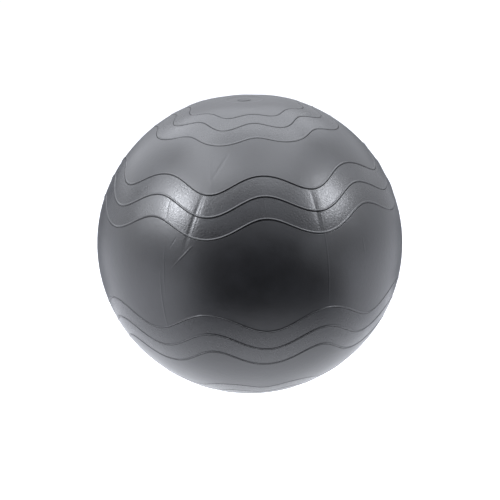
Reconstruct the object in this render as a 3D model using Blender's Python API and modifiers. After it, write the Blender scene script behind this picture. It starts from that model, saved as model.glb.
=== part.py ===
"""Inflated exercise ball: a ribbed hollow skin, a valve seat at its upper pole and a push-in plug.

Metres, +Z up. The origin is the centre of the flat patch that the ball stands on, and the mould's
axis is +Z. Latitudes are in degrees on the ball's profile ellipse, + towards the valve, and turns
round the axis are counted from -Y towards +X.
"""

import math
from collections import namedtuple

import bmesh
import bpy
import numpy as np

# ---------------------------------------------------------------- driving dimensions
GIRTH_RADIUS = 0.325      # half of the 650 mm that the ball is sold as
POLE_RATIO = 0.981        # blown up, the ball is a little shorter than it is wide
WALL = 0.001              # of the stretched skin
FOOT_RADIUS = 0.036       # the patch that the ball's weight presses flat

WAVES = 8                 # of every rib, round the ball
FIRST_CREST = 6.2         # degrees of turn to a crest of every rib
RIB_HEIGHT = 0.0011
RIB_HALF_WIDTH = 0.0026

# At its crests a rib swings from its latitude by `swing` degrees, always towards its own pole.
# `pinch`, twice as often, sharpens one side of the wave, as on a line drawn at a fixed distance
# beside another.
Rib = namedtuple("Rib", "latitude swing pinch")
RIBS = (
    Rib(68.8, 1.22, -0.07),
    Rib(62.1, 2.01, -0.02),
    Rib(54.1, 1.69, 0.17),
    Rib(35.8, 3.49, -0.27),
    Rib(27.4, 3.65, 0.0),
    Rib(19.1, 3.57, 0.18),
    Rib(-15.6, -3.66, -0.10),
    Rib(-23.9, -3.68, 0.05),
    Rib(-32.4, -3.60, 0.34),
    Rib(-53.0, -1.98, -0.26),
    Rib(-60.8, -2.00, 0.0),
    Rib(-67.8, -1.20, 0.07),
)
CALM_LATITUDE = 80.0      # nothing swings nearer to the poles than this

CROWN_SAG = 0.007         # the thick pad holds the upper pole back in a wide shallow hollow
CROWN_RADIUS = 0.120
PAD_RADIUS = 0.033        # the moulded round pad that the valve sits in
PAD_DEPTH = 0.0012        # below the crown round it
PAD_EDGE = 0.010          # width of the slope between them
PAD_WALL = 0.0025
HOLE_RADIUS = 0.01135     # through the pad

GAP = 0.0003              # between pieces that touch on the real ball
LIP_RADIUS = 0.0145       # of the valve seat, over the pad
LIP_TOP = 0.0008          # heights at the valve are measured from the pad's outer face
NECK_RADIUS = 0.011
FLANGE_RADIUS = 0.019     # bonded under the pad
FLANGE_WALL = 0.0022
TUBE_RADIUS = 0.0085
TUBE_END = -0.020
BORE_RADIUS = 0.0045
BORE_LEAD = 0.0006        # chamfer that leads the plug or the pump's nozzle in
RECESS_RADIUS = 0.0096    # for the plug's head
RECESS_DEPTH = 0.0019
EDGE_BREAK = 0.0003       # chamfer on the valve's outer edges

HEAD_RADIUS = 0.0092
STEM_TOP_RADIUS = 0.0039
STEM_TIP_RADIUS = 0.0026
STEM_LENGTH = 0.0265      # from the head's underside to the tip
SEALS = 4                 # rings round the stem
FIRST_SEAL = 0.005        # from the head's underside
SEAL_PITCH = 0.0042
SEAL_RISE = 0.0003
SEAL_HALF_WIDTH = 0.0006

SKIN_COLUMNS = 64
VALVE_COLUMNS = 32
LONGEST_STEP = 8.0        # degrees between the skin's rows
SHARP_ANGLE = 40.0        # degrees; flatter edges are shaded smooth

COLLECTION = "exercise_ball"
Finish = namedtuple("Finish", "name colour roughness")
SKIN_PVC = Finish("grey_soft_pvc", (0.085, 0.087, 0.094), 0.38)
SEAT_PVC = Finish("grey_seat_pvc", (0.060, 0.062, 0.067), 0.45)
PLUG_PLASTIC = Finish("dark_plug_plastic", (0.030, 0.031, 0.034), 0.50)

POLE_RADIUS = GIRTH_RADIUS * POLE_RATIO
CENTRE_Z = POLE_RADIUS * math.sqrt(1.0 - (FOOT_RADIUS / GIRTH_RADIUS) ** 2)


# ---------------------------------------------------------------- the ball's own surface
def crown_sag(radius):
    """How far the skin is held back towards the centre at this distance from the axis."""
    if radius >= CROWN_RADIUS:
        return 0.0
    return CROWN_SAG * 0.5 * (1.0 + math.cos(math.pi * radius / CROWN_RADIUS))


def on_profile(latitude, rise=0.0):
    """(radius, z) on the meridian, `rise` out from the skin's outer face."""
    angle = math.radians(latitude)
    radius, z = GIRTH_RADIUS * math.cos(angle), POLE_RADIUS * math.sin(angle)
    slope = (math.cos(angle) / GIRTH_RADIUS, math.sin(angle) / POLE_RADIUS)
    length = math.hypot(*slope)
    if latitude > 0.0:
        z -= crown_sag(radius)
    return radius + rise * slope[0] / length, CENTRE_Z + z + rise * slope[1] / length


def latitude_at(radius):
    """Latitude where the skin is this far from the axis."""
    return math.degrees(math.acos(radius / GIRTH_RADIUS))


PAD_RIM_RADIUS = PAD_RADIUS + PAD_EDGE
PAD_Z = on_profile(latitude_at(PAD_RIM_RADIUS))[1] - PAD_DEPTH


def plain_latitudes(upper, lower):
    """Latitudes strictly between two rows, evenly spaced and close enough together."""
    steps = math.ceil((upper - lower) / LONGEST_STEP)
    return [upper + (lower - upper) * step / steps for step in range(1, steps)]


def skin_profile():
    """Outline of the wall: up the inside from the lower pole, out through the hole, down the outside."""
    half = math.degrees(RIB_HALF_WIDTH / GIRTH_RADIUS)
    outer = [(HOLE_RADIUS, PAD_Z), (PAD_RADIUS, PAD_Z)]
    inner = [(HOLE_RADIUS, PAD_Z - PAD_WALL), (PAD_RADIUS - 0.5 * PAD_EDGE, PAD_Z - PAD_WALL)]
    last = latitude_at(PAD_RIM_RADIUS)
    outer.append(on_profile(last))
    inner.append(on_profile(last - half, -WALL))
    for rib in RIBS:
        for latitude in plain_latitudes(last, rib.latitude + half):
            outer.append(on_profile(latitude))
            inner.append(on_profile(latitude, -WALL))
        outer.append(on_profile(rib.latitude + half))
        outer.append(on_profile(rib.latitude, RIB_HEIGHT))
        outer.append(on_profile(rib.latitude - half))
        inner.append(on_profile(rib.latitude, -WALL))
        last = rib.latitude - half
    for latitude in plain_latitudes(last, -latitude_at(FOOT_RADIUS)):
        outer.append(on_profile(latitude))
        inner.append(on_profile(latitude, -WALL))
    outer += [(FOOT_RADIUS, 0.0), (0.0, 0.0)]
    inner += [(FOOT_RADIUS, WALL), (0.0, WALL)]
    return inner[::-1] + outer


def swing_ribs(mesh):
    """Shift every point of the turned skin along its meridian, which lays the ribs in waves."""
    calm = Rib(CALM_LATITUDE, 0.0, 0.0)
    nodes = [calm._replace(latitude=-CALM_LATITUDE), *reversed(RIBS), calm]
    latitudes, swings, pinches = zip(*nodes)
    first_crest = math.radians(FIRST_CREST)
    for vertex in mesh.vertices:
        x, y, z = vertex.co
        radius, z = math.hypot(x, y), z - CENTRE_Z
        size = math.hypot(radius / GIRTH_RADIUS, z / POLE_RADIUS)
        latitude = math.degrees(math.atan2(z / POLE_RADIUS, radius / GIRTH_RADIUS))
        turn = math.atan2(y, x)
        phase = WAVES * turn
        latitude += np.interp(latitude, latitudes, swings) * math.cos(phase)
        latitude += np.interp(latitude, latitudes, pinches) * math.cos(2.0 * phase)
        angle = math.radians(latitude)
        radius = size * GIRTH_RADIUS * math.cos(angle)
        turn += first_crest - 0.5 * math.pi
        z = CENTRE_Z + size * POLE_RADIUS * math.sin(angle)
        vertex.co = (radius * math.cos(turn), radius * math.sin(turn), z)


# ---------------------------------------------------------------- the valve
def seat_profile():
    """Closed outline of the valve seat, down its outside and back up through the bore."""
    flange_top = -PAD_WALL - GAP
    flange_end = flange_top - FLANGE_WALL
    floor = LIP_TOP - RECESS_DEPTH
    return [
        (RECESS_RADIUS, LIP_TOP),
        (LIP_RADIUS - EDGE_BREAK, LIP_TOP),
        (LIP_RADIUS, LIP_TOP - EDGE_BREAK),
        (LIP_RADIUS, GAP),
        (NECK_RADIUS, GAP),
        (NECK_RADIUS, flange_top),
        (FLANGE_RADIUS, flange_top),
        (FLANGE_RADIUS, flange_end),
        (TUBE_RADIUS, flange_end),
        (TUBE_RADIUS - EDGE_BREAK, TUBE_END),
        (BORE_RADIUS, TUBE_END),
        (BORE_RADIUS, floor - BORE_LEAD),
        (BORE_RADIUS + BORE_LEAD, floor),
        (RECESS_RADIUS, floor),
    ]


def plug_profile():
    """Outline of the plug from the middle of its head to its tip; zero is the head's underside."""
    thickness = RECESS_DEPTH - GAP
    taper = (STEM_TOP_RADIUS - STEM_TIP_RADIUS) / STEM_LENGTH
    points = [
        (0.0, thickness),
        (HEAD_RADIUS - EDGE_BREAK, thickness),
        (HEAD_RADIUS, thickness - EDGE_BREAK),
        (HEAD_RADIUS, 0.0),
        (STEM_TOP_RADIUS, 0.0),
    ]
    for seal in range(SEALS):
        depth = FIRST_SEAL + SEAL_PITCH * seal
        for along, rise in ((-SEAL_HALF_WIDTH, 0.0), (0.0, SEAL_RISE), (SEAL_HALF_WIDTH, 0.0)):
            radius = STEM_TOP_RADIUS - taper * (depth + along) + rise
            points.append((radius, -depth - along))
    points += [
        (STEM_TIP_RADIUS, EDGE_BREAK - STEM_LENGTH),
        (STEM_TIP_RADIUS - EDGE_BREAK, -STEM_LENGTH),
        (0.0, -STEM_LENGTH),
    ]
    return points


# ---------------------------------------------------------------- building
def clear_scene():
    """Remove whatever the scene holds."""
    for obj in list(bpy.data.objects):
        bpy.data.objects.remove(obj, do_unlink=True)


def material(finish):
    """Principled material of one finish."""
    made = bpy.data.materials.new(finish.name)
    made.use_nodes = True
    shader = made.node_tree.nodes["Principled BSDF"]
    shader.inputs["Base Color"].default_value = (*finish.colour, 1.0)
    shader.inputs["Roughness"].default_value = finish.roughness
    shader.inputs["Metallic"].default_value = 0.0
    return made


def turned(name, profile, columns, closed, collection):
    """Object whose mesh is a profile in the XZ plane turned round Z."""
    outline = bpy.data.meshes.new(name + "_outline")
    points = [(radius, 0.0, z) for radius, z in profile]
    edges = [(index, index + 1) for index in range(len(points) - 1)]
    if closed:
        edges.append((len(points) - 1, 0))
    outline.from_pydata(points, edges, [])
    obj = bpy.data.objects.new(name, outline)
    collection.objects.link(obj)
    screw = obj.modifiers.new("turn", "SCREW")
    screw.axis = "Z"
    screw.steps = screw.render_steps = columns
    screw.use_merge_vertices = True
    screw.merge_threshold = 1e-5
    evaluated = obj.evaluated_get(bpy.context.evaluated_depsgraph_get())
    obj.data = bpy.data.meshes.new_from_object(evaluated)
    obj.data.name = name
    obj.modifiers.clear()
    bpy.data.meshes.remove(outline)
    return obj


def finish_piece(obj, finish):
    """Split the faces along their short diagonals, shade them and give the piece its material."""
    mesh = bmesh.new()
    mesh.from_mesh(obj.data)
    bmesh.ops.triangulate(mesh, faces=mesh.faces, quad_method="SHORT_EDGE")
    mesh.to_mesh(obj.data)
    mesh.free()
    obj.data.shade_smooth()
    obj.data.set_sharp_from_angle(angle=math.radians(SHARP_ANGLE))
    obj.data.materials.append(material(finish))


def main():
    """Model the three pieces of the ball."""
    clear_scene()
    collection = bpy.data.collections.new(COLLECTION)
    bpy.context.scene.collection.children.link(collection)

    skin = turned("ball_skin", skin_profile(), SKIN_COLUMNS, False, collection)
    swing_ribs(skin.data)
    finish_piece(skin, SKIN_PVC)

    seat = turned("valve_seat", seat_profile(), VALVE_COLUMNS, True, collection)
    seat.location.z = PAD_Z
    finish_piece(seat, SEAT_PVC)

    plug = turned("valve_plug", plug_profile(), VALVE_COLUMNS, False, collection)
    plug.location.z = PAD_Z + LIP_TOP - RECESS_DEPTH + GAP
    finish_piece(plug, PLUG_PLASTIC)


main()
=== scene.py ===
"""Looks of the exercise ball: ribbed soft PVC skin, valve seat and plug, in a plain pale studio.

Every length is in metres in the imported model's frame: the origin is the middle of the patch that
the ball stands on, and +Z runs along the mould's axis to the valve. Latitudes are on the ball's
profile ellipse, + towards the valve, and turns round the axis are counted from -Y towards +X. Both
are in degrees unless a name says otherwise.
"""

from __future__ import annotations

import logging
import math
from dataclasses import dataclass
from enum import Enum
from typing import Any

import bpy
from mathutils import Matrix, Vector

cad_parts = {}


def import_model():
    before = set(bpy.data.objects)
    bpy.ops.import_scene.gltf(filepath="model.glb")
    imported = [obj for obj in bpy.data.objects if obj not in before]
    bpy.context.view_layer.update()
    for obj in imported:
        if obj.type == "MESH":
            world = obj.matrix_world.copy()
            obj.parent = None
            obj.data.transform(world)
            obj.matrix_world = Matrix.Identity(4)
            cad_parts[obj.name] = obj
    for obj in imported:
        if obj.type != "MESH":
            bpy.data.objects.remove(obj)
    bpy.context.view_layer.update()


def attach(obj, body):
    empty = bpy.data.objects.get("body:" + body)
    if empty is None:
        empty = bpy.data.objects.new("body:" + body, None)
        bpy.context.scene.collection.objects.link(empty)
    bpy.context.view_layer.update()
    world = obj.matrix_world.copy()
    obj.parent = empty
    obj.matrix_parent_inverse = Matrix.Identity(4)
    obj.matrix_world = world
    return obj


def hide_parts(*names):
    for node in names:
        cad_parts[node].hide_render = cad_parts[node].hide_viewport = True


LOG = logging.getLogger("exercise_ball")
SEAM_MERGE = 1e-6

Socket = bpy.types.NodeSocket
Tree = bpy.types.NodeTree


# ------------------------------------------------------------------ small tools
def linear(colour: str) -> tuple[float, float, float, float]:
    """Turn an sRGB hex colour into the linear colour that shaders want.

    Args:
        colour: six hex digits after a hash sign.

    Returns:
        Red, green, blue and an alpha of one.
    """
    channels = [int(colour[start : start + 2], 16) / 255.0 for start in (1, 3, 5)]
    bent = [c / 12.92 if c <= 0.04045 else ((c + 0.055) / 1.055) ** 2.4 for c in channels]
    return bent[0], bent[1], bent[2], 1.0


def add(tree: Tree, kind: str, inputs: dict | None = None, **settings: Any) -> bpy.types.Node:
    """Add a node, set its properties, and set or link its inputs.

    Args:
        tree: the shader or geometry tree.
        kind: the node's Blender type.
        inputs: value or source socket for each input, by name or place.
        settings: the node's properties.

    Returns:
        The new node.
    """
    node = tree.nodes.new(kind)
    for name, value in settings.items():
        setattr(node, name, value)
    for key, value in (inputs or {}).items():
        if isinstance(value, Socket):
            tree.links.new(value, node.inputs[key])
        else:
            node.inputs[key].default_value = value
    return node


def new_material(name: str) -> tuple[bpy.types.Material, Tree, bpy.types.Node]:
    """Make an empty node material.

    Args:
        name: what the material is.

    Returns:
        The material, its tree and its output node.
    """
    made = bpy.data.materials.new(name)
    made.use_nodes = True
    made.node_tree.nodes.clear()
    return made, made.node_tree, add(made.node_tree, "ShaderNodeOutputMaterial")


def flecked(tree: Tree, size: float, detail: float, colours: tuple[str, str]) -> Socket:
    """Mix two colours by noise fixed to the piece.

    Args:
        tree: a material's tree.
        size: how wide the flecks are.
        detail: how many finer sizes are added to them.
        colours: the two colours, as sRGB hex.

    Returns:
        The mixed colour's socket.
    """
    place = add(tree, "ShaderNodeTexCoord").outputs["Object"]
    noise = add(tree, "ShaderNodeTexNoise", {"Vector": place, "Scale": 1.0 / size, "Detail": detail})
    return add(
        tree, "ShaderNodeMix",
        {"Factor": noise.outputs["Fac"], 6: linear(colours[0]), 7: linear(colours[1])},
        data_type="RGBA",
    ).outputs[2]


def eased(share: float) -> float:
    """Smooth rise from 0 to 1, held at both ends."""
    share = min(max(share, 0.0), 1.0)
    return share * share * (3.0 - 2.0 * share)


# ------------------------------------------------------------------ the ball's form
class Zone(Enum):
    """Which surface of the mould a row lies on; the value is its share of the grip finish."""

    PLAIN = 0.0
    RIB = 0.5
    GRIP = 1.0


@dataclass(frozen=True)
class Row:
    """One ring of points round the axis.

    `swing` and `pinch` are what it moves along its meridian at a crest of the waves, and `slack`
    is how freely the skin there may bulge and crease.
    """

    radius: float
    z: float
    zone: Zone = Zone.PLAIN
    swing: float = 0.0
    pinch: float = 0.0
    slack: float = 0.0


@dataclass(frozen=True)
class Rib:
    """One moulded rib that runs round the ball in waves.

    At its crests it swings from its latitude by `swing`, towards its own pole. `pinch`, twice as
    often, sharpens one side of the wave.
    """

    latitude: float
    swing: float
    pinch: float


@dataclass(frozen=True)
class BallForm:
    """Sizes and curves that the skin and the valve share.

    `wall` is deeper than the real millimetre, so that the grooves by the ribs stay inside it.
    """

    girth_radius: float = 0.325
    pole_ratio: float = 0.981
    foot_radius: float = 0.036
    wall: float = 0.0022
    waves: int = 8
    first_crest: float = 6.2
    rib_height: float = 0.0011
    rib_half_width: float = 0.0026
    calm_latitude: float = 80.0
    crown_sag: float = 0.007
    crown_radius: float = 0.120
    pad_radius: float = 0.033
    pad_depth: float = 0.0012
    pad_edge: float = 0.010
    pad_wall: float = 0.0025
    hole_radius: float = 0.01135
    bands: tuple[tuple[Rib, ...], ...] = (
        (Rib(68.8, 1.22, -0.07), Rib(62.1, 2.01, -0.02), Rib(54.1, 1.69, 0.17)),
        (Rib(35.8, 3.49, -0.27), Rib(27.4, 3.65, 0.0), Rib(19.1, 3.57, 0.18)),
        (Rib(-15.6, -3.66, -0.10), Rib(-23.9, -3.68, 0.05), Rib(-32.4, -3.60, 0.34)),
        (Rib(-53.0, -1.98, -0.26), Rib(-60.8, -2.00, 0.0), Rib(-67.8, -1.20, 0.07)),
    )

    @property
    def pole_radius(self) -> float:
        """Half the height of the whole ellipse."""
        return self.girth_radius * self.pole_ratio

    @property
    def centre_z(self) -> float:
        """Height of the ellipse's centre over the floor patch."""
        return self.pole_radius * math.sqrt(1.0 - (self.foot_radius / self.girth_radius) ** 2)

    @property
    def pad_rim(self) -> float:
        """Radius where the slope round the valve pad meets the skin."""
        return self.pad_radius + self.pad_edge

    @property
    def pad_z(self) -> float:
        """Height of the valve pad's outer face."""
        return self.on_profile(self.latitude_at(self.pad_rim))[1] - self.pad_depth

    @property
    def rib_half_angle(self) -> float:
        """Half a rib's width as an angle at the ball's centre."""
        return math.degrees(self.rib_half_width / self.girth_radius)

    def sag(self, radius: float) -> float:
        """How far the thick valve pad holds the crown back.

        Args:
            radius: distance from the axis.

        Returns:
            The distance down.
        """
        if radius >= self.crown_radius:
            return 0.0
        return self.crown_sag * 0.5 * (1.0 + math.cos(math.pi * radius / self.crown_radius))

    def on_profile(self, latitude: float, rise: float = 0.0) -> tuple[float, float]:
        """Point of the meridian.

        Args:
            latitude: where on the ellipse.
            rise: distance out from the skin's outer face.

        Returns:
            Distance from the axis, and height.
        """
        angle = math.radians(latitude)
        radius, z = self.girth_radius * math.cos(angle), self.pole_radius * math.sin(angle)
        out = Vector((math.cos(angle) / self.girth_radius, math.sin(angle) / self.pole_radius))
        out.normalize()
        if latitude > 0.0:
            z -= self.sag(radius)
        return radius + rise * out.x, self.centre_z + z + rise * out.y

    def latitude_at(self, radius: float) -> float:
        """Upper latitude where the ellipse is this far from the axis."""
        return math.degrees(math.acos(radius / self.girth_radius))

    def waved(self, latitude: float) -> Rib:
        """How far the waves carry the skin at a latitude.

        Args:
            latitude: where, with no wave.

        Returns:
            A rib that would lie there: straight from one real rib to the next, and still at the poles.
        """
        ribs = [rib for band in self.bands for rib in band]
        low = Rib(-self.calm_latitude, 0.0, 0.0)
        for high in (*reversed(ribs), Rib(self.calm_latitude, 0.0, 0.0)):
            if low.latitude < latitude <= high.latitude:
                share = (latitude - low.latitude) / (high.latitude - low.latitude)
                swing = low.swing + share * (high.swing - low.swing)
                return Rib(latitude, swing, low.pinch + share * (high.pinch - low.pinch))
            low = high
        return Rib(latitude, 0.0, 0.0)


@dataclass(frozen=True)
class Crease:
    """Line that folding left in the skin, roughly along a meridian.

    It passes through `turn` at `latitude`, leans by `lean` degrees of turn a degree of latitude,
    fades out at `reach` degrees to each side, is `width` wide each way, and stands out by
    `height`, or lies in where that is negative.
    """

    turn: float
    latitude: float
    lean: float
    reach: float
    width: float
    height: float

    def raise_by(
        self, tree: Tree, turn: Socket, latitude: Socket, girth: float, so_far: Socket | float
    ) -> Socket:
        """Add the nodes for this crease's height anywhere on the ball.

        Args:
            tree: a shader or geometry tree.
            turn: turn round the axis, in radians.
            latitude: latitude on the ellipse, in radians.
            girth: the ball's radius.
            so_far: height that the crease is added to.

        Returns:
            The sum's socket.
        """
        along = add(
            tree, "ShaderNodeMath", {0: latitude, 1: math.radians(self.latitude)}, operation="SUBTRACT"
        ).outputs[0]
        line = add(
            tree, "ShaderNodeMath", {0: along, 1: self.lean, 2: math.radians(self.turn)},
            operation="MULTIPLY_ADD",
        ).outputs[0]
        across = add(tree, "ShaderNodeMath", {0: turn, 1: line}, operation="SUBTRACT").outputs[0]
        narrow = girth * math.cos(math.radians(self.latitude)) / self.width
        # Each share is (1 - x squared) to a power: a rounded ridge across, and a slow fade along.
        product: Socket | float = self.height
        for value, scale, sharpness in (
            (across, narrow, 3.0),
            (along, 1.0 / math.radians(self.reach), 1.0),
        ):
            for operation, second, third, clamp in (
                ("MULTIPLY", scale, 0.0, False),
                ("POWER", 2.0, 0.0, False),
                ("MULTIPLY_ADD", -1.0, 1.0, True),
                ("POWER", sharpness, 0.0, False),
                ("MULTIPLY", product, 0.0, False),
            ):
                value = add(
                    tree, "ShaderNodeMath", {0: value, 1: second, 2: third},
                    operation=operation, use_clamp=clamp,
                ).outputs[0]
            product = value
        return add(tree, "ShaderNodeMath", {0: product, 1: so_far}, operation="ADD").outputs[0]


# Wide soft folds that bend the skin itself.
FOLDS = (
    Crease(-21.5, 23.0, 0.25, 13.0, 0.013, -0.0002),
    Crease(-17.0, 26.0, 0.20, 11.0, 0.014, 0.00015),
    Crease(26.6, 24.5, 0.00, 12.0, 0.014, -0.0003),
    Crease(29.8, 22.0, 0.00, 14.0, 0.012, 0.0002),
    Crease(-33.3, 26.0, 0.00, 6.0, 0.009, -0.0002),
    Crease(118.0, 20.0, 0.15, 14.0, 0.012, -0.0006),
    Crease(-131.0, 12.0, -0.12, 16.0, 0.012, 0.0005),
    Crease(171.0, -8.0, 0.10, 18.0, 0.013, -0.0005),
)

# Their fine cores, and the thin lines beside them.
LINES = (
    Crease(-21.4, 22.5, 0.27, 11.5, 0.0080, -0.00050),
    Crease(-19.2, 25.5, 0.22, 8.0, 0.0042, -0.00016),
    Crease(-33.3, 26.0, 0.00, 4.5, 0.0034, -0.00022),
    Crease(-32.2, 6.0, 0.00, 13.0, 0.0030, 0.00022),
    Crease(-33.8, -9.0, 0.00, 14.0, 0.0034, 0.00034),
    Crease(-25.0, 9.2, 0.93, 4.6, 0.0042, 0.00042),
    Crease(-28.8, 14.2, 0.60, 2.2, 0.0030, -0.00022),
    Crease(26.8, 24.5, 0.00, 9.5, 0.0065, -0.00026),
    Crease(28.5, 8.0, 0.00, 22.0, 0.0028, 0.00016),
    Crease(6.3, 30.0, -0.10, 7.0, 0.0018, 0.00014),
    Crease(-17.2, 41.0, -0.29, 6.5, 0.0070, 0.00034),
    Crease(-12.5, 43.5, 0.57, 6.0, 0.0065, -0.00042),
    Crease(45.5, 8.0, 0.00, 3.5, 0.0020, 0.00014),
    Crease(118.0, 20.0, 0.15, 12.0, 0.0034, -0.00045),
    Crease(171.0, -8.0, 0.10, 15.0, 0.0030, -0.00030),
)


# ------------------------------------------------------------------ turned pieces
@dataclass(frozen=True)
class TurnedPiece:
    """A piece that is a line of rows turned round the axis, and laid in waves, by Geometry Nodes."""

    name: str
    node: str
    body: str
    slot: str
    rows: list[Row]
    columns: int
    girth_radius: float = 1.0
    pole_radius: float = 1.0
    centre_z: float = 0.0
    waves: int = 0
    first_crest: float = 0.0
    unevenness: float = 0.0
    bulge: float = 0.09
    seed: float = 7.0
    folds: tuple[Crease, ...] = ()
    sharp_angle: float = 38.0

    def meridian(self) -> bpy.types.Object:
        """Make the line of rows, with what the tree needs to know of each as attributes.

        Returns:
            An object whose mesh is the line.
        """
        mesh = bpy.data.meshes.new("meridian")
        mesh.from_pydata([(row.radius, 0.0, row.z) for row in self.rows], [], [])
        columns: dict[str, list[float]] = {name: [] for name in self.row_attributes()}
        for row in self.rows:
            across = row.radius / self.girth_radius
            up = (row.z - self.centre_z) / self.pole_radius
            values = (
                math.atan2(up, across), math.hypot(across, up), math.radians(row.swing),
                math.radians(row.pinch), row.zone.value, row.slack,
            )
            for column, value in zip(columns.values(), values):
                column.append(value)
        for name, column in columns.items():
            mesh.attributes.new(name, "FLOAT", "POINT").data.foreach_set("value", column)
        line = bpy.data.objects.new("meridian", mesh)
        bpy.context.scene.collection.objects.link(line)
        return line

    @staticmethod
    def row_attributes() -> tuple[str, ...]:
        """Names of the attributes that each row carries into the tree."""
        return "latitude", "size", "swing", "pinch", "grip", "slack"

    def tree(self) -> Tree:
        """Build the Geometry Nodes tree that turns the meridian into the piece.

        Returns:
            The tree, whose sizes are named inputs.
        """
        tree = bpy.data.node_groups.new("turn_in_waves", "GeometryNodeTree")
        tree.interface.new_socket("Meridian", in_out="INPUT", socket_type="NodeSocketGeometry")
        tree.interface.new_socket("Columns", in_out="INPUT", socket_type="NodeSocketInt")
        for name in ("Waves", "First Crest", "Girth Radius", "Pole Radius", "Centre Height",
                     "Unevenness", "Bulge Frequency", "Seed"):
            tree.interface.new_socket(name, in_out="INPUT", socket_type="NodeSocketFloat")
        tree.interface.new_socket("Finish", in_out="INPUT", socket_type="NodeSocketMaterial")
        tree.interface.new_socket("Piece", in_out="OUTPUT", socket_type="NodeSocketGeometry")
        given = add(tree, "NodeGroupInput").outputs

        # A grid with one more column than asked for, whose last column closes on the first.
        rows = add(
            tree, "GeometryNodeAttributeDomainSize", {"Geometry": given["Meridian"]}
        ).outputs["Point Count"]
        more = add(tree, "FunctionNodeIntegerMath", {0: given["Columns"], 1: 1}, operation="ADD").outputs[0]
        piece = add(tree, "GeometryNodeMeshGrid", {"Vertices X": more, "Vertices Y": rows}).outputs["Mesh"]
        index = add(tree, "GeometryNodeInputIndex").outputs[0]
        row, column = (
            add(tree, "FunctionNodeIntegerMath", {0: index, 1: rows}, operation=operation).outputs[0]
            for operation in ("MODULO", "DIVIDE_FLOOR")
        )
        of_row: dict[str, Socket] = {}
        for name in self.row_attributes():
            stored = add(tree, "GeometryNodeInputNamedAttribute", {"Name": name}, data_type="FLOAT")
            of_row[name] = add(
                tree, "GeometryNodeSampleIndex",
                {"Geometry": given["Meridian"], "Value": stored.outputs[0], "Index": row},
                data_type="FLOAT", domain="POINT",
            ).outputs[0]

        # The waves move each point along its meridian.
        turned: Socket = column
        for operation, second in (("DIVIDE", given["Columns"]), ("MULTIPLY", math.tau)):
            turned = add(tree, "ShaderNodeMath", {0: turned, 1: second}, operation=operation).outputs[0]
        phase = add(tree, "ShaderNodeMath", {0: turned, 1: given["Waves"]}, operation="MULTIPLY").outputs[0]
        latitude = of_row["latitude"]
        for amount, times in ((of_row["swing"], 1.0), (of_row["pinch"], 2.0)):
            wave = add(tree, "ShaderNodeMath", {0: phase, 1: times}, operation="MULTIPLY").outputs[0]
            wave = add(tree, "ShaderNodeMath", {0: wave}, operation="COSINE").outputs[0]
            latitude = add(
                tree, "ShaderNodeMath", {0: amount, 1: wave, 2: latitude}, operation="MULTIPLY_ADD"
            ).outputs[0]
        turn = add(tree, "ShaderNodeMath", {0: turned, 1: given["First Crest"]}, operation="ADD").outputs[0]
        turn = add(tree, "ShaderNodeMath", {0: turn, 1: math.pi, 2: -math.pi}, operation="WRAP").outputs[0]

        # The direction out, on a ball of radius one.
        inward, up, ahead, aside = (
            add(tree, "ShaderNodeMath", {0: angle}, operation=operation).outputs[0]
            for angle in (latitude, turn) for operation in ("COSINE", "SINE")
        )
        back = add(tree, "ShaderNodeMath", {0: ahead, 1: -1.0}, operation="MULTIPLY").outputs[0]
        across = add(tree, "ShaderNodeCombineXYZ", {"X": aside, "Y": back, "Z": 1.0}).outputs[0]
        upright = add(tree, "ShaderNodeCombineXYZ", {"X": inward, "Y": inward, "Z": up}).outputs[0]
        out = add(tree, "ShaderNodeVectorMath", {0: across, 1: upright}, operation="MULTIPLY").outputs[0]

        # Bulges and folds raise the slack skin along it.
        bulges = add(
            tree, "ShaderNodeTexNoise",
            {"Vector": out, "W": given["Seed"], "Scale": given["Bulge Frequency"], "Detail": 1.0},
            noise_dimensions="4D",
        ).outputs[0]
        relief = add(tree, "ShaderNodeMath", {0: bulges, 1: 0.5}, operation="SUBTRACT").outputs[0]
        relief = add(
            tree, "ShaderNodeMath", {0: relief, 1: given["Unevenness"]}, operation="MULTIPLY"
        ).outputs[0]
        for fold in self.folds:
            relief = fold.raise_by(tree, turn, latitude, self.girth_radius, relief)
        for operation, second in (
            ("MULTIPLY", of_row["slack"]), ("DIVIDE", given["Girth Radius"]), ("ADD", of_row["size"]),
        ):
            relief = add(tree, "ShaderNodeMath", {0: relief, 1: second}, operation=operation).outputs[0]
        stretch = add(
            tree, "ShaderNodeCombineXYZ",
            {"X": given["Girth Radius"], "Y": given["Girth Radius"], "Z": given["Pole Radius"]},
        ).outputs[0]
        raised = add(tree, "ShaderNodeCombineXYZ", {"Z": given["Centre Height"]}).outputs[0]
        place = add(tree, "ShaderNodeVectorMath", {0: out, "Scale": relief}, operation="SCALE").outputs[0]
        place = add(
            tree, "ShaderNodeVectorMath", {0: place, 1: stretch, 2: raised}, operation="MULTIPLY_ADD"
        ).outputs[0]

        for kind, inputs, settings in (
            ("GeometryNodeStoreNamedAttribute", {"Name": "grip", "Value": of_row["grip"]},
             {"data_type": "FLOAT", "domain": "POINT"}),
            ("GeometryNodeSetPosition", {"Position": place}, {}),
            ("GeometryNodeMergeByDistance", {"Distance": SEAM_MERGE}, {}),
            ("GeometryNodeSetShadeSmooth", {"Shade Smooth": True}, {}),
            ("GeometryNodeRealizeInstances", {}, {}),
            ("GeometryNodeSetMaterial", {"Material": given["Finish"]}, {}),
        ):
            piece = add(tree, kind, {"Geometry": piece, **inputs}, **settings).outputs[0]
        add(tree, "NodeGroupOutput", {"Piece": piece})
        return tree

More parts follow.
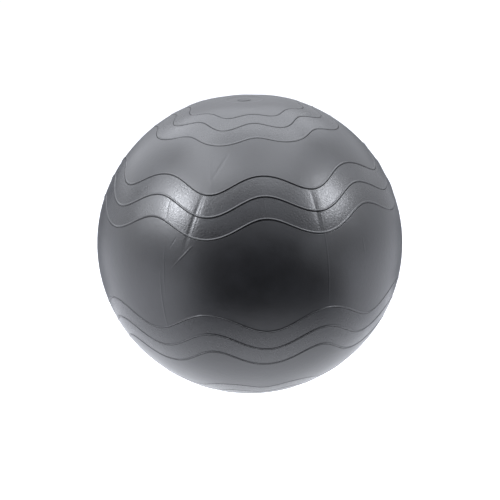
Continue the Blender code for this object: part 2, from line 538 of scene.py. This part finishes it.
    def build(self, finish: bpy.types.Material) -> bpy.types.Object:
        """Make the piece, freeze it to a plain mesh, and put it on its body.

        Args:
            finish: the piece's material.

        Returns:
            The piece.
        """
        line = self.meridian()
        modifier = line.modifiers.new("turn_in_waves", "NODES")
        modifier.node_group = self.tree()
        values = {
            "Columns": self.columns,
            "Waves": float(self.waves),
            "First Crest": math.radians(self.first_crest),
            "Girth Radius": self.girth_radius,
            "Pole Radius": self.pole_radius,
            "Centre Height": self.centre_z,
            "Unevenness": self.unevenness,
            "Bulge Frequency": self.girth_radius / self.bulge,
            "Seed": self.seed,
            "Finish": finish,
        }
        for item in modifier.node_group.interface.items_tree:
            if item.in_out == "INPUT" and item.name in values:
                modifier[item.identifier] = values[item.name]
        evaluated = line.evaluated_get(bpy.context.evaluated_depsgraph_get())
        mesh = bpy.data.meshes.new_from_object(evaluated)
        mesh.name = self.name
        mesh.set_sharp_from_angle(angle=math.radians(self.sharp_angle))
        bpy.data.objects.remove(line, do_unlink=True)
        piece = bpy.data.objects.new(self.name, mesh)
        bpy.context.scene.collection.objects.link(piece)
        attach(piece, self.body)
        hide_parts(self.node)
        return piece


# ------------------------------------------------------------------ skin
@dataclass(frozen=True)
class BallSkin:
    """The hollow skin with its ribs, its grip zones, and the pad and hole for the valve.

    Southern ribs have `low_share` of the northern ones' height, and those past `polar_latitude`
    have `polar_share` of their band's. `groove_share` is half the groove's part of a rib's half
    width. The skin gets its bulges and folds from `free_radius` out, over `free_width`.
    """

    form: BallForm
    columns: int = 504
    bead_rows: int = 6
    low_share: float = 0.9
    polar_share: float = 0.55
    polar_latitude: float = 45.0
    groove_share: float = 0.25
    groove_depth: float = 0.0015
    pad_rows: int = 7
    longest_step: float = 3.0
    guard_step: float = 0.12
    inner_step: float = 12.0
    unevenness: float = 0.0007
    free_radius: float = 0.055
    free_width: float = 0.060

    def row(self, latitude: float, zone: Zone = Zone.PLAIN, rise: float = 0.0) -> Row:
        """Make one row of the free skin.

        Args:
            latitude: where on the ellipse, before the waves.
            zone: which surface it lies on.
            rise: distance out from the skin's outer face.

        Returns:
            The row.
        """
        radius, z = self.form.on_profile(latitude, rise)
        waved = self.form.waved(latitude)
        slack = eased((radius - self.free_radius) / self.free_width)
        return Row(radius, z, zone, waved.swing, waved.pinch, slack)

    @staticmethod
    def between(start: float, end: float, longest: float) -> list[float]:
        """Space latitudes evenly between two, which are left out.

        Args:
            start: the first of the two.
            end: the second.
            longest: the widest step allowed.

        Returns:
            The latitudes.
        """
        steps = math.ceil(abs(end - start) / longest)
        return [start + (end - start) * step / steps for step in range(1, steps)]

    def plain(self, start: float, end: float, zone: Zone) -> list[Row]:
        """Rows of the skin from one rib's foot to the next, with a narrow first and last step.

        Args:
            start: latitude of the upper foot, whose own row isn't made.
            end: latitude of the lower foot, whose own row isn't made.
            zone: which surface lies between them.

        Returns:
            The rows, whose narrow steps keep the ribs' shading off the skin beside them.
        """
        first, last = start - self.guard_step, end + self.guard_step
        return [self.row(at, zone) for at in (first, *self.between(first, last, self.longest_step), last)]

    def pad(self) -> list[Row]:
        """Rows of the pad's outer face.

        Returns:
            The rows, from the hole, over the flat pad, up the slope to the skin.
        """
        form = self.form
        rim_z = form.on_profile(form.latitude_at(form.pad_rim))[1]
        middle = 0.5 * (form.hole_radius + form.pad_radius)
        rows = [Row(form.hole_radius, form.pad_z), Row(middle, form.pad_z)]
        for step in range(self.pad_rows):
            share = step / (self.pad_rows - 1)
            z = form.pad_z + (rim_z - form.pad_z) * eased(share)
            rows.append(Row(form.pad_radius + form.pad_edge * share, z))
        return rows

    def rib(self, rib: Rib) -> list[Row]:
        """Rows over one rib: a rounded bead, and a fine groove at its lower foot.

        Args:
            rib: the rib.

        Returns:
            The rows, from its upper foot to its lower one.
        """
        form = self.form
        height = form.rib_height * (1.0 if rib.latitude > 0.0 else self.low_share)
        if abs(rib.latitude) > self.polar_latitude:
            height *= self.polar_share
        groove_top = 1.0 - 2.0 * self.groove_share
        outline = []
        for step in range(self.bead_rows):
            across = (1.0 + groove_top) * step / (self.bead_rows - 1) - 1.0
            turn = 2.0 * math.pi * step / (self.bead_rows - 1)
            outline.append((across, height * 0.5 * (1.0 - math.cos(turn))))
        outline += [(1.0 - self.groove_share, -self.groove_depth), (1.0, 0.0)]
        return [
            self.row(rib.latitude - form.rib_half_angle * across, Zone.RIB, rise)
            for across, rise in outline
        ]

    def outside(self) -> list[Row]:
        """Rows of the free skin's outer face.

        Returns:
            The rows, from the pad's slope to the foot.
        """
        form = self.form
        half = form.rib_half_angle
        rows: list[Row] = []
        last = form.latitude_at(form.pad_rim)
        for band in form.bands:
            for number, rib in enumerate(band):
                zone = Zone.GRIP if number else Zone.PLAIN
                rows += self.plain(last, rib.latitude + half, zone)
                rows += self.rib(rib)
                last = rib.latitude - half
        return rows + self.plain(last, -form.latitude_at(form.foot_radius), Zone.PLAIN)

    def inside(self) -> list[Row]:
        """Rows of the inner face.

        Returns:
            The rows, from the foot to the hole.
        """
        form = self.form
        foot = -form.latitude_at(form.foot_radius)
        top = form.latitude_at(form.pad_rim) - form.rib_half_angle
        rows = [Row(0.0, form.wall), Row(form.foot_radius, form.wall)]
        rows += [self.row(at, rise=-form.wall) for at in (*self.between(foot, top, self.inner_step), top)]
        under = form.pad_z - form.pad_wall
        rows += [Row(form.pad_radius - 0.5 * form.pad_edge, under), Row(form.hole_radius, under)]
        return rows

    def piece(self) -> TurnedPiece:
        """Describe the whole skin.

        Returns:
            The piece, ready to build.
        """
        form = self.form
        foot = [Row(form.foot_radius * share, 0.0) for share in (1.0, 0.5, 0.0)]
        return TurnedPiece(
            "pvc_skin", "ball_skin", "ball", "skin_pvc",
            [*self.pad(), *self.outside(), *foot, *self.inside(), Row(form.hole_radius, form.pad_z)],
            self.columns, form.girth_radius, form.pole_radius, form.centre_z, form.waves,
            form.first_crest, self.unevenness, folds=FOLDS,
        )

    def build(self) -> bpy.types.Object:
        """Build the skin and dress it."""
        return self.piece().build(SoftPvc(self.form).build())


# ------------------------------------------------------------------ valve
@dataclass(frozen=True)
class Corner:
    """One corner of a turned outline, rounded off."""

    radius: float
    z: float
    rounding: float = 0.0


def rounded(corners: list[Corner], closed: bool, steps: int = 4) -> list[Row]:
    """Round off an outline's corners.

    Args:
        corners: the outline, in order.
        closed: whether it ends where it starts, instead of on the axis.
        steps: rows in each rounding, less one.

    Returns:
        The outline's rows.
    """
    rows: list[Row] = []
    for number, corner in enumerate(corners):
        here = Vector((corner.radius, corner.z))
        if corner.rounding == 0.0:
            rows.append(Row(here.x, here.y))
            continue
        before = corners[number - 1]
        after = corners[(number + 1) % len(corners)]
        start = here + (Vector((before.radius, before.z)) - here).normalized() * corner.rounding
        end = here + (Vector((after.radius, after.z)) - here).normalized() * corner.rounding
        for step in range(steps + 1):
            share = step / steps
            point = start.lerp(here, share).lerp(here.lerp(end, share), share)
            rows.append(Row(point.x, point.y))
    return [*rows, rows[0]] if closed else rows


@dataclass(frozen=True)
class ValveSeat:
    """The pressed PVC seat that is bonded into the pad, with the plug's recess and the bore."""

    pad_z: float
    pad_wall: float
    gap: float = 0.0003
    lip_radius: float = 0.0145
    lip_top: float = 0.0008
    neck_radius: float = 0.011
    flange_radius: float = 0.019
    flange_wall: float = 0.0022
    tube_radius: float = 0.0085
    tube_end: float = -0.020
    bore_radius: float = 0.0045
    bore_lead: float = 0.0006
    recess_radius: float = 0.0096
    recess_depth: float = 0.0019
    rounding: float = 0.0005
    rim_rounding: float = 0.00025
    columns: int = 120

    @property
    def recess_z(self) -> float:
        """Height of the recess's floor over the pad."""
        return self.lip_top - self.recess_depth

    def piece(self) -> TurnedPiece:
        """Describe the seat.

        Returns:
            The piece, ready to build.
        """
        flange_top = -self.pad_wall - self.gap
        flange_end = flange_top - self.flange_wall
        rim, lead = self.rim_rounding, self.bore_lead
        outline = [
            Corner(self.recess_radius, self.lip_top, rim),
            Corner(self.lip_radius, self.lip_top, self.rounding),
            Corner(self.lip_radius, self.gap),
            Corner(self.neck_radius, self.gap),
            Corner(self.neck_radius, flange_top),
            Corner(self.flange_radius, flange_top, self.rounding),
            Corner(self.flange_radius, flange_end, self.rounding),
            Corner(self.tube_radius, flange_end),
            Corner(self.tube_radius - rim, self.tube_end, self.rounding),
            Corner(self.bore_radius, self.tube_end, rim),
            Corner(self.bore_radius, self.recess_z - lead, rim),
            Corner(self.bore_radius + lead, self.recess_z, rim),
            Corner(self.recess_radius, self.recess_z),
        ]
        rows = [Row(row.radius, row.z + self.pad_z) for row in rounded(outline, closed=True)]
        return TurnedPiece(
            "pressed_valve_seat", "valve_seat", "ball", "seat_pvc", rows[::-1], self.columns,
            centre_z=self.pad_z,
        )

    def build(self) -> bpy.types.Object:
        """Build the seat and dress it."""
        return self.piece().build(SEAT_PVC.build())


@dataclass(frozen=True)
class ValvePlug:
    """The push-in plug: a dished head, and a tapered stem with sealing rings."""

    seat: ValveSeat
    head_radius: float = 0.0092
    stem_top_radius: float = 0.0039
    stem_tip_radius: float = 0.0026
    stem_length: float = 0.0265
    seals: int = 4
    first_seal: float = 0.005
    seal_pitch: float = 0.0042
    seal_rise: float = 0.0003
    seal_half_width: float = 0.0006
    seal_rows: int = 7
    dish_radius: float = 0.0066
    dish_depth: float = 0.0003
    gate_radius: float = 0.0011
    gate_rise: float = 0.00012
    gate_rounding: float = 0.0001
    rounding: float = 0.0005
    under_rounding: float = 0.0002
    tip_rounding: float = 0.001
    columns: int = 120

    def stem_radius(self, depth: float) -> float:
        """Radius of the bare stem at a depth under the head."""
        share = depth / self.stem_length
        return self.stem_top_radius + share * (self.stem_tip_radius - self.stem_top_radius)

    def head(self, thickness: float) -> list[Corner]:
        """Outline the head, with its dish and the moulding gate's mark in the middle.

        Args:
            thickness: the head's height.

        Returns:
            The corners, from the axis on top to the stem below.
        """
        dish = thickness - self.dish_depth
        return [
            Corner(0.0, dish + self.gate_rise),
            Corner(self.gate_radius, dish + self.gate_rise, self.gate_rounding),
            Corner(self.gate_radius, dish),
            Corner(self.dish_radius, dish, self.rounding),
            Corner(self.dish_radius + 2.0 * self.dish_depth, thickness, self.rounding),
            Corner(self.head_radius, thickness, self.rounding),
            Corner(self.head_radius, 0.0, self.under_rounding),
            Corner(self.stem_top_radius, 0.0),
        ]

    def stem(self) -> list[Corner]:
        """Outline the stem, with its sealing rings.

        Returns:
            The corners, from the head down to the tip.
        """
        corners: list[Corner] = []
        for seal in range(self.seals):
            middle = self.first_seal + self.seal_pitch * seal
            for step in range(self.seal_rows):
                across = 2.0 * step / (self.seal_rows - 1) - 1.0
                depth = middle + across * self.seal_half_width
                rise = self.seal_rise * 0.5 * (1.0 + math.cos(math.pi * across))
                corners.append(Corner(self.stem_radius(depth) + rise, -depth))
        corners.append(Corner(self.stem_tip_radius, -self.stem_length, self.tip_rounding))
        corners.append(Corner(0.0, -self.stem_length))
        return corners

    def piece(self) -> TurnedPiece:
        """Describe the plug.

        Returns:
            The piece, ready to build.
        """
        seat = self.seat
        underside = seat.pad_z + seat.recess_z + seat.gap
        corners = self.head(seat.recess_depth - seat.gap) + self.stem()
        rows = [Row(row.radius, row.z + underside) for row in rounded(corners, closed=False)]
        return TurnedPiece(
            "moulded_valve_plug", "valve_plug", "plug", "plug_plastic", rows, self.columns,
            centre_z=underside,
        )

    def build(self) -> bpy.types.Object:
        """Build the plug and dress it."""
        return self.piece().build(PLUG_PLASTIC.build())


# ------------------------------------------------------------------ finishes
@dataclass(frozen=True)
class SoftPvc:
    """Rotationally moulded soft PVC: a near-black plastic that shines like satin.

    The mould's blasted face gives the plain zones a soft sheen, its polished bands give the grip
    zones their gloss and a fine glitter, and handling leaves a thin haze and hairline scuffs.
    The real glitter is finer than a millimetre, and `grain` draws it as coarse as it needs to show.
    """

    form: BallForm
    name: str = "soft_pvc_rotational_moulded"
    colour: str = "#0E0E10"
    haze_colour: str = "#1A1B1E"
    plain_roughness: float = 0.35
    grip_roughness: float = 0.30
    ior: float = 1.53
    grain: float = 0.0032
    grain_height: float = 0.00030
    mottle: float = 0.05
    peel: float = 0.009
    peel_height: float = 0.00012
    blotch: float = 0.070
    scuff: float = 0.0016
    scuff_stretch: float = 26.0
    noise_roughness: float = 0.55
    haze_range: tuple[float, float] = (0.42, 0.72)
    haze_most: float = 0.45
    scuff_range: tuple[float, float] = (0.60, 0.78)
    scuff_most: float = 0.5
    grain_range: tuple[float, float] = (0.3, 0.7)
    plain_grain: float = 0.25
    dulling: float = 0.08

    def build(self) -> bpy.types.Material:
        """Make the skin's material.

        Returns:
            The material.
        """
        form = self.form
        made, tree, output = new_material(self.name)
        place = add(tree, "ShaderNodeTexCoord").outputs["Object"]
        centred = add(
            tree, "ShaderNodeMapping", {"Vector": place, "Location": (0.0, 0.0, -form.centre_z)}
        ).outputs[0]
        parts = add(tree, "ShaderNodeSeparateXYZ", {0: centred}).outputs
        front = add(tree, "ShaderNodeMath", {0: parts["Y"], 1: -1.0}, operation="MULTIPLY").outputs[0]
        turn = add(tree, "ShaderNodeMath", {0: parts["X"], 1: front}, operation="ARCTAN2").outputs[0]
        flat = add(tree, "ShaderNodeCombineXYZ", {"X": parts["X"], "Y": parts["Y"]}).outputs[0]
        radius = add(tree, "ShaderNodeVectorMath", {0: flat}, operation="LENGTH").outputs["Value"]
        tall = add(
            tree, "ShaderNodeMath", {0: parts["Z"], 1: form.pole_ratio}, operation="DIVIDE"
        ).outputs[0]
        latitude = add(tree, "ShaderNodeMath", {0: tall, 1: radius}, operation="ARCTAN2").outputs[0]
        grip = add(tree, "ShaderNodeAttribute", attribute_name="grip").outputs["Fac"]

        # Noise in real sizes: glitter of the grip zones, soft peel of the mould, haze, and scuffs
        # that run along the meridians.
        along = add(tree, "ShaderNodeCombineXYZ", {"X": turn, "Y": latitude}).outputs[0]
        along = add(
            tree, "ShaderNodeMapping",
            {"Vector": along, "Scale": (form.girth_radius, form.girth_radius / self.scuff_stretch, 1.0)},
        ).outputs[0]
        grain, peel, blotch, streak = (
            add(
                tree, "ShaderNodeTexNoise",
                {"Vector": vector, "Scale": 1.0 / size, "Detail": detail,
                 "Roughness": self.noise_roughness},
            ).outputs["Fac"]
            for vector, size, detail in (
                (place, self.grain, 2.0), (place, self.peel, 1.0), (place, self.blotch, 3.0),
                (along, self.scuff, 2.0),
            )
        )
        haze, scuffed, roughness, grain_height, mottled = (
            add(
                tree, "ShaderNodeMapRange",
                {"Value": value, "From Min": low, "From Max": high, "To Min": start, "To Max": end},
            ).outputs[0]
            for value, (low, high), start, end in (
                (blotch, self.haze_range, 0.0, self.haze_most),
                (streak, self.scuff_range, 0.0, self.scuff_most),
                (grip, (0.0, 1.0), self.plain_roughness, self.grip_roughness),
                (grip, (0.0, 1.0), self.plain_grain * self.grain_height, self.grain_height),
                (grain, self.grain_range, -1.0, 1.0),
            )
        )

        dull = add(tree, "ShaderNodeMath", {0: haze, 1: scuffed}, operation="MAXIMUM").outputs[0]
        colour = add(
            tree, "ShaderNodeMix",
            {"Factor": dull, 6: linear(self.colour), 7: linear(self.haze_colour)}, data_type="RGBA",
        ).outputs[2]
        mottled = add(tree, "ShaderNodeMath", {0: mottled, 1: grip}, operation="MULTIPLY").outputs[0]
        for value, amount in ((dull, self.dulling), (mottled, self.mottle)):
            roughness = add(
                tree, "ShaderNodeMath", {0: value, 1: amount, 2: roughness}, operation="MULTIPLY_ADD"
            ).outputs[0]

        relief = add(tree, "ShaderNodeMath", {0: grain, 1: grain_height}, operation="MULTIPLY").outputs[0]
        relief = add(
            tree, "ShaderNodeMath", {0: peel, 1: self.peel_height, 2: relief}, operation="MULTIPLY_ADD"
        ).outputs[0]
        for crease in LINES:
            relief = crease.raise_by(tree, turn, latitude, form.girth_radius, relief)
        bump = add(tree, "ShaderNodeBump", {"Height": relief, "Strength": 1.0, "Distance": 1.0}).outputs[0]
        shader = add(
            tree, "ShaderNodeBsdfPrincipled",
            {"Base Color": colour, "Roughness": roughness, "IOR": self.ior, "Normal": bump},
        )
        tree.links.new(shader.outputs[0], output.inputs["Surface"])
        return made


@dataclass(frozen=True)
class MouldedPlastic:
    """Plastic with the fine even grain of an etched tool, paler where it has been rubbed."""

    name: str
    colour: str
    worn_colour: str
    roughness: float
    grain: float = 0.0006
    grain_height: float = 0.00002
    wear: float = 0.0045
    wear_range: tuple[float, float] = (0.5, 0.75)
    wear_most: float = 0.6
    dulling: float = 0.12
    ior: float = 1.5

    def build(self) -> bpy.types.Material:
        """Make the material.

        Returns:
            The material.
        """
        made, tree, output = new_material(self.name)
        place = add(tree, "ShaderNodeTexCoord").outputs["Object"]
        grain, wear = (
            add(
                tree, "ShaderNodeTexNoise", {"Vector": place, "Scale": 1.0 / size, "Detail": 3.0}
            ).outputs["Fac"]
            for size in (self.grain, self.wear)
        )
        worn = add(
            tree, "ShaderNodeMapRange",
            {"Value": wear, "From Min": self.wear_range[0], "From Max": self.wear_range[1],
             "To Min": 0.0, "To Max": self.wear_most},
        ).outputs[0]
        colour = add(
            tree, "ShaderNodeMix",
            {"Factor": worn, 6: linear(self.colour), 7: linear(self.worn_colour)}, data_type="RGBA",
        ).outputs[2]
        rough = add(
            tree, "ShaderNodeMath", {0: worn, 1: self.dulling, 2: self.roughness}, operation="MULTIPLY_ADD"
        ).outputs[0]
        bump = add(
            tree, "ShaderNodeBump", {"Height": grain, "Strength": 1.0, "Distance": self.grain_height}
        ).outputs[0]
        shader = add(
            tree, "ShaderNodeBsdfPrincipled",
            {"Base Color": colour, "Roughness": rough, "IOR": self.ior, "Normal": bump},
        )
        tree.links.new(shader.outputs[0], output.inputs["Surface"])
        return made


# Pressed from the skin's own plastic and a shade paler, so that the ring hardly shows beside it.
SEAT_PVC = MouldedPlastic("soft_pvc_pressed", "#101113", "#1E1F22", 0.37)
# Hard and evenly grained, and matched to the ring that it sits in.
PLUG_PLASTIC = MouldedPlastic("polyethylene_injection_moulded", "#101113", "#1E1F22", 0.36)


# ------------------------------------------------------------------ studio
@dataclass(frozen=True)
class PaleFloor:
    """Pale painted board, white to the eye, whose glow is painted light, so that no shadow shows under the
    ball.

    The glow paints a pool of light round the ball's foot and a fainter one far off, and the board is
    clouded a little by wear.
    """

    name: str = "pale_floor_painted_glow"
    colour: str = "#D2D2D4"
    worn_colour: str = "#CBCBCD"
    glow_colour: str = "#F5F8FF"
    cloud: float = 1.0 / 3.0
    roughness: float = 0.9
    specular: float = 0.1
    foot_glow: float = 1.6
    foot_radius: float = 0.14
    foot_fade: float = 0.38
    far_glow: float = 0.42
    far_start: float = 1.5
    far_end: float = 3.5

    def build(self) -> bpy.types.Material:
        """Make the material.

        Returns:
            The material.
        """
        made, tree, output = new_material(self.name)
        colour = flecked(tree, self.cloud, 4.0, (self.colour, self.worn_colour))
        place = add(tree, "ShaderNodeTexCoord").outputs["Object"]
        away = add(tree, "ShaderNodeVectorMath", {0: place}, operation="LENGTH").outputs["Value"]
        # Painted light: the emission lays a bright pool round the ball's foot, which hides its shadow, and
        # a faint glow far off.
        foot, far = (
            add(
                tree, "ShaderNodeMapRange",
                {"Value": away, "From Min": near, "From Max": end, "To Min": first, "To Max": last},
                interpolation_type="SMOOTHSTEP",
            ).outputs[0]
            for near, end, first, last in (
                (self.foot_radius, self.foot_radius + self.foot_fade, self.foot_glow, 0.0),
                (self.far_start, self.far_end, 0.0, self.far_glow),
            )
        )
        glow = add(tree, "ShaderNodeMath", {0: foot, 1: far}, operation="ADD").outputs[0]
        shader = add(
            tree, "ShaderNodeBsdfPrincipled",
            {"Base Color": colour, "Roughness": self.roughness, "Specular IOR Level": self.specular,
             "Emission Color": linear(self.glow_colour), "Emission Strength": glow},
        )
        tree.links.new(shader.outputs[0], output.inputs["Surface"])
        return made


@dataclass(frozen=True)
class Felt:
    """Woollen felt on a board: no shine, and a fine fleck of its paler fibres."""

    name: str
    colour: str
    pale_colour: str
    fleck: float = 1.0 / 300.0

    def build(self) -> bpy.types.Material:
        """Make the material.

        Returns:
            The material.
        """
        made, tree, output = new_material(self.name)
        colour = flecked(tree, self.fleck, 3.0, (self.colour, self.pale_colour))
        shader = add(tree, "ShaderNodeBsdfDiffuse", {"Color": colour})
        tree.links.new(shader.outputs[0], output.inputs["Surface"])
        return made


@dataclass(frozen=True)
class FlagNet:
    """Black net that thins out towards the ball and to both sides, so that its edges don't show.

    It is thickest beyond the far end of `reach`, and within the near end of `bearing` from the
    line at `turn`.
    """

    name: str = "black_flag_net"
    colour: str = "#050506"
    reach: tuple[float, float] = (0.28, 0.78)
    bearing: tuple[float, float] = (33.0, 66.0)
    turn: float = 11.0

    def build(self) -> bpy.types.Material:
        """Make the material.

        Returns:
            The material.
        """
        made, tree, output = new_material(self.name)
        place = add(tree, "ShaderNodeTexCoord").outputs["Object"]
        parts = add(tree, "ShaderNodeSeparateXYZ", {0: place}).outputs
        ahead = add(tree, "ShaderNodeMath", {0: parts["Y"], 1: -1.0}, operation="MULTIPLY").outputs[0]
        bearing = add(tree, "ShaderNodeMath", {0: parts["X"], 1: ahead}, operation="ARCTAN2").outputs[0]
        for operation, second in (("SUBTRACT", math.radians(self.turn)), ("ABSOLUTE", 0.0)):
            bearing = add(tree, "ShaderNodeMath", {0: bearing, 1: second}, operation=operation).outputs[0]
        away = add(tree, "ShaderNodeVectorMath", {0: place}, operation="LENGTH").outputs["Value"]
        near, wide = (
            add(
                tree, "ShaderNodeMapRange",
                {"Value": value, "From Min": start, "From Max": end, "To Min": 0.0, "To Max": 1.0},
                interpolation_type="SMOOTHSTEP",
            ).outputs[0]
            for value, start, end in (
                (away, *self.reach),
                (bearing, math.radians(self.bearing[1]), math.radians(self.bearing[0])),
            )
        )
        thick = add(tree, "ShaderNodeMath", {0: near, 1: wide}, operation="MULTIPLY").outputs[0]
        clear = add(tree, "ShaderNodeBsdfTransparent").outputs[0]
        black = add(tree, "ShaderNodeBsdfDiffuse", {"Color": linear(self.colour)}).outputs[0]
        mixed = add(tree, "ShaderNodeMixShader", {0: thick, 1: clear, 2: black}).outputs[0]
        tree.links.new(mixed, output.inputs["Surface"])
        return made


class Cloth(Enum):
    """What a flag or card is covered with."""

    NET = FlagNet()
    BLACK = Felt("black_flag_felt", "#030304", "#08080A")
    GREY = Felt("grey_card_felt", "#666769", "#6E6F72")


@dataclass(frozen=True)
class Flag:
    """A flat flag or card, from one level edge to another, that only the ball's shine can see.

    Each edge has its place along Y and its height. `halves` are half the edges' lengths, and
    `middle` is how far aside both are centred.
    """

    name: str
    start: tuple[float, float]
    end: tuple[float, float]
    halves: tuple[float, float]
    cloth: Cloth
    middle: float = 0.0

    def corners(self) -> list[Vector]:
        """List the corners.

        Returns:
            The corners, in order round the flag.
        """
        return [
            Vector((self.middle + side * half, *edge))
            for edge, half, sides in (
                (self.start, self.halves[0], (-1, 1)), (self.end, self.halves[1], (1, -1)),
            )
            for side in sides
        ]


@dataclass(frozen=True)
class SoftBox:
    """One soft light: where it stands as seen from the ball, its sides and its power."""

    name: str
    bearing: float
    elevation: float
    distance: float
    width: float
    height: float
    power: float
    colour: str = "#F5F8FF"

    def build(self, aim: Vector) -> None:
        """Hang the light.

        Args:
            aim: the point that it faces, and that its place is counted from.
        """
        lamp = bpy.data.lights.new(self.name, "AREA")
        lamp.shape = "RECTANGLE"
        lamp.size, lamp.size_y = self.width, self.height
        lamp.energy = self.power
        lamp.color = linear(self.colour)[:3]
        obj = bpy.data.objects.new(self.name, lamp)
        obj.visible_camera = False
        out = Vector((
            math.cos(math.radians(self.elevation)) * math.sin(math.radians(self.bearing)),
            -math.cos(math.radians(self.elevation)) * math.cos(math.radians(self.bearing)),
            math.sin(math.radians(self.elevation)),
        ))
        obj.location = aim + out * self.distance
        obj.rotation_euler = (-out).to_track_quat("-Z", "Y").to_euler()
        bpy.context.scene.collection.objects.link(obj)


@dataclass(frozen=True)
class Studio:
    """Pale floor, pale surround, soft lights, dark flags on the camera's side, and the camera."""

    form: BallForm
    camera_elevation: float = 14.4
    camera_roll: float = 2.24
    camera_distance: float = 3.965
    camera_lens: float = 133.7
    aim_drop: float = 0.0147
    floor_half: float = 14.0
    floor_z: float = -0.0004
    surround: float = 1.12
    surround_colour: str = "#F5F8FF"
    clip_end: float = 60.0
    floor_finish: PaleFloor = PaleFloor()
    flags: tuple[Flag, ...] = (
        Flag("front_floor_flag", (-0.2, 0.004), (-4.0, 0.004), (3.0, 3.0), Cloth.NET),
        Flag("front_flag", (-3.0, 0.0), (-3.0, 1.6), (2.4, 2.4), Cloth.BLACK),
        Flag("back_floor_card", (0.4, 0.004), (2.4, 0.004), (0.7, 2.2), Cloth.GREY),
        Flag("back_card", (2.4, 0.0), (2.4, 0.78), (1.8, 1.8), Cloth.GREY, -0.3),
    )
    lights: tuple[SoftBox, ...] = (
        SoftBox("overhead_light", 0.0, 88.0, 2.2, 2.6, 2.2, 52.0),
        SoftBox("high_front_light", 0.0, 62.0, 2.4, 1.6, 1.0, 4.5),
        SoftBox("high_back_light", 180.0, 57.0, 2.4, 3.0, 1.6, 36.0),
        SoftBox("high_left_light", -64.0, 58.0, 2.4, 2.0, 1.5, 27.0),
        SoftBox("high_right_light", 66.0, 58.0, 2.4, 2.0, 1.5, 11.0),
        SoftBox("left_light", -60.0, 33.0, 2.5, 1.0, 1.1, 30.0),
        SoftBox("left_core_light", -62.0, 34.0, 2.45, 0.36, 0.5, 22.0),
        SoftBox("right_light", 70.0, 33.0, 2.5, 1.0, 1.1, 25.0),
        SoftBox("right_core_light", 73.0, 32.0, 2.45, 0.36, 0.5, 13.0),
        SoftBox("far_left_light", -84.0, 30.0, 2.55, 1.1, 1.3, 20.0),
        SoftBox("far_right_light", 94.0, 34.0, 2.55, 1.1, 1.3, 7.5),
        SoftBox("left_fill", -98.0, 3.0, 2.6, 2.0, 1.6, 7.5),
        SoftBox("right_fill", 105.0, 8.0, 2.6, 2.0, 1.6, 2.5),
        SoftBox("back_left_light", -131.0, 32.0, 2.7, 1.6, 1.7, 14.5),
        SoftBox("back_right_light", 130.0, 30.0, 2.7, 1.6, 1.7, 5.5),
    )

    def build(self) -> None:
        """Set up the whole studio."""
        self.floor()
        self.stand_flags()
        for light in self.lights:
            light.build(Vector((0.0, 0.0, self.form.centre_z)))
        self.world()
        self.camera()

    @staticmethod
    def plane(name: str, corners: list[Vector], finish: bpy.types.Material) -> bpy.types.Object:
        """Make a flat stage piece.

        Args:
            name: its name.
            corners: its corners, in order.
            finish: its material.

        Returns:
            The piece.
        """
        mesh = bpy.data.meshes.new(name)
        mesh.from_pydata([tuple(corner) for corner in corners], [], [tuple(range(len(corners)))])
        mesh.materials.append(finish)
        obj = bpy.data.objects.new(name, mesh)
        bpy.context.scene.collection.objects.link(obj)
        return obj

    def floor(self) -> None:
        """Lay the floor."""
        half = self.floor_half
        sides = ((-1, -1), (1, -1), (1, 1), (-1, 1))
        corners = [Vector((x * half, y * half, self.floor_z)) for x, y in sides]
        self.plane("floor", corners, self.floor_finish.build())

    def stand_flags(self) -> None:
        """Stand the flags and cards where only the ball's shine can see them."""
        finishes = {cloth: cloth.value.build() for cloth in Cloth}
        for flag in self.flags:
            piece = self.plane(flag.name, flag.corners(), finishes[flag.cloth])
            piece.visible_camera = False
            piece.visible_diffuse = False
            piece.visible_shadow = False

    def world(self) -> None:
        """Surround the set with even pale light."""
        world = bpy.data.worlds.new("surround")
        world.use_nodes = True
        light = world.node_tree.nodes["Background"].inputs
        light["Color"].default_value = linear(self.surround_colour)
        light["Strength"].default_value = self.surround
        bpy.context.scene.world = world
        bpy.context.scene.view_settings.view_transform = "Standard"

    def camera(self) -> None:
        """Set the camera a little over the ball, with a long lens and a slight roll."""
        data = bpy.data.cameras.new("camera")
        data.lens = self.camera_lens
        data.clip_end = self.clip_end
        obj = bpy.data.objects.new("camera", data)
        rise = math.radians(self.camera_elevation)
        back = Vector((0.0, -math.cos(rise), math.sin(rise)))
        up = Vector((0.0, math.sin(rise), math.cos(rise)))
        centre = Vector((0.0, 0.0, self.form.centre_z))
        obj.location = centre + back * self.camera_distance
        aim = centre - up * self.aim_drop
        view = (aim - obj.location).to_track_quat("-Z", "Y").to_matrix()
        roll = Matrix.Rotation(math.radians(-self.camera_roll), 3, "Z")
        obj.rotation_euler = (view @ roll).to_euler()
        bpy.context.scene.collection.objects.link(obj)
        bpy.context.scene.camera = obj


def main() -> None:
    """Build and dress the ball, piece by piece, then the studio round it."""
    logging.basicConfig(level=logging.INFO, format="%(message)s")
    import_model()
    form = BallForm()
    seat = ValveSeat(form.pad_z, form.pad_wall)
    for part in (BallSkin(form), seat, ValvePlug(seat)):
        piece = part.build()
        LOG.info("%s: %d faces", piece.name, len(piece.data.polygons))
    Studio(form).build()
    LOG.info("studio: %d lights", len(Studio.lights))


if __name__ == "__main__":
    main()
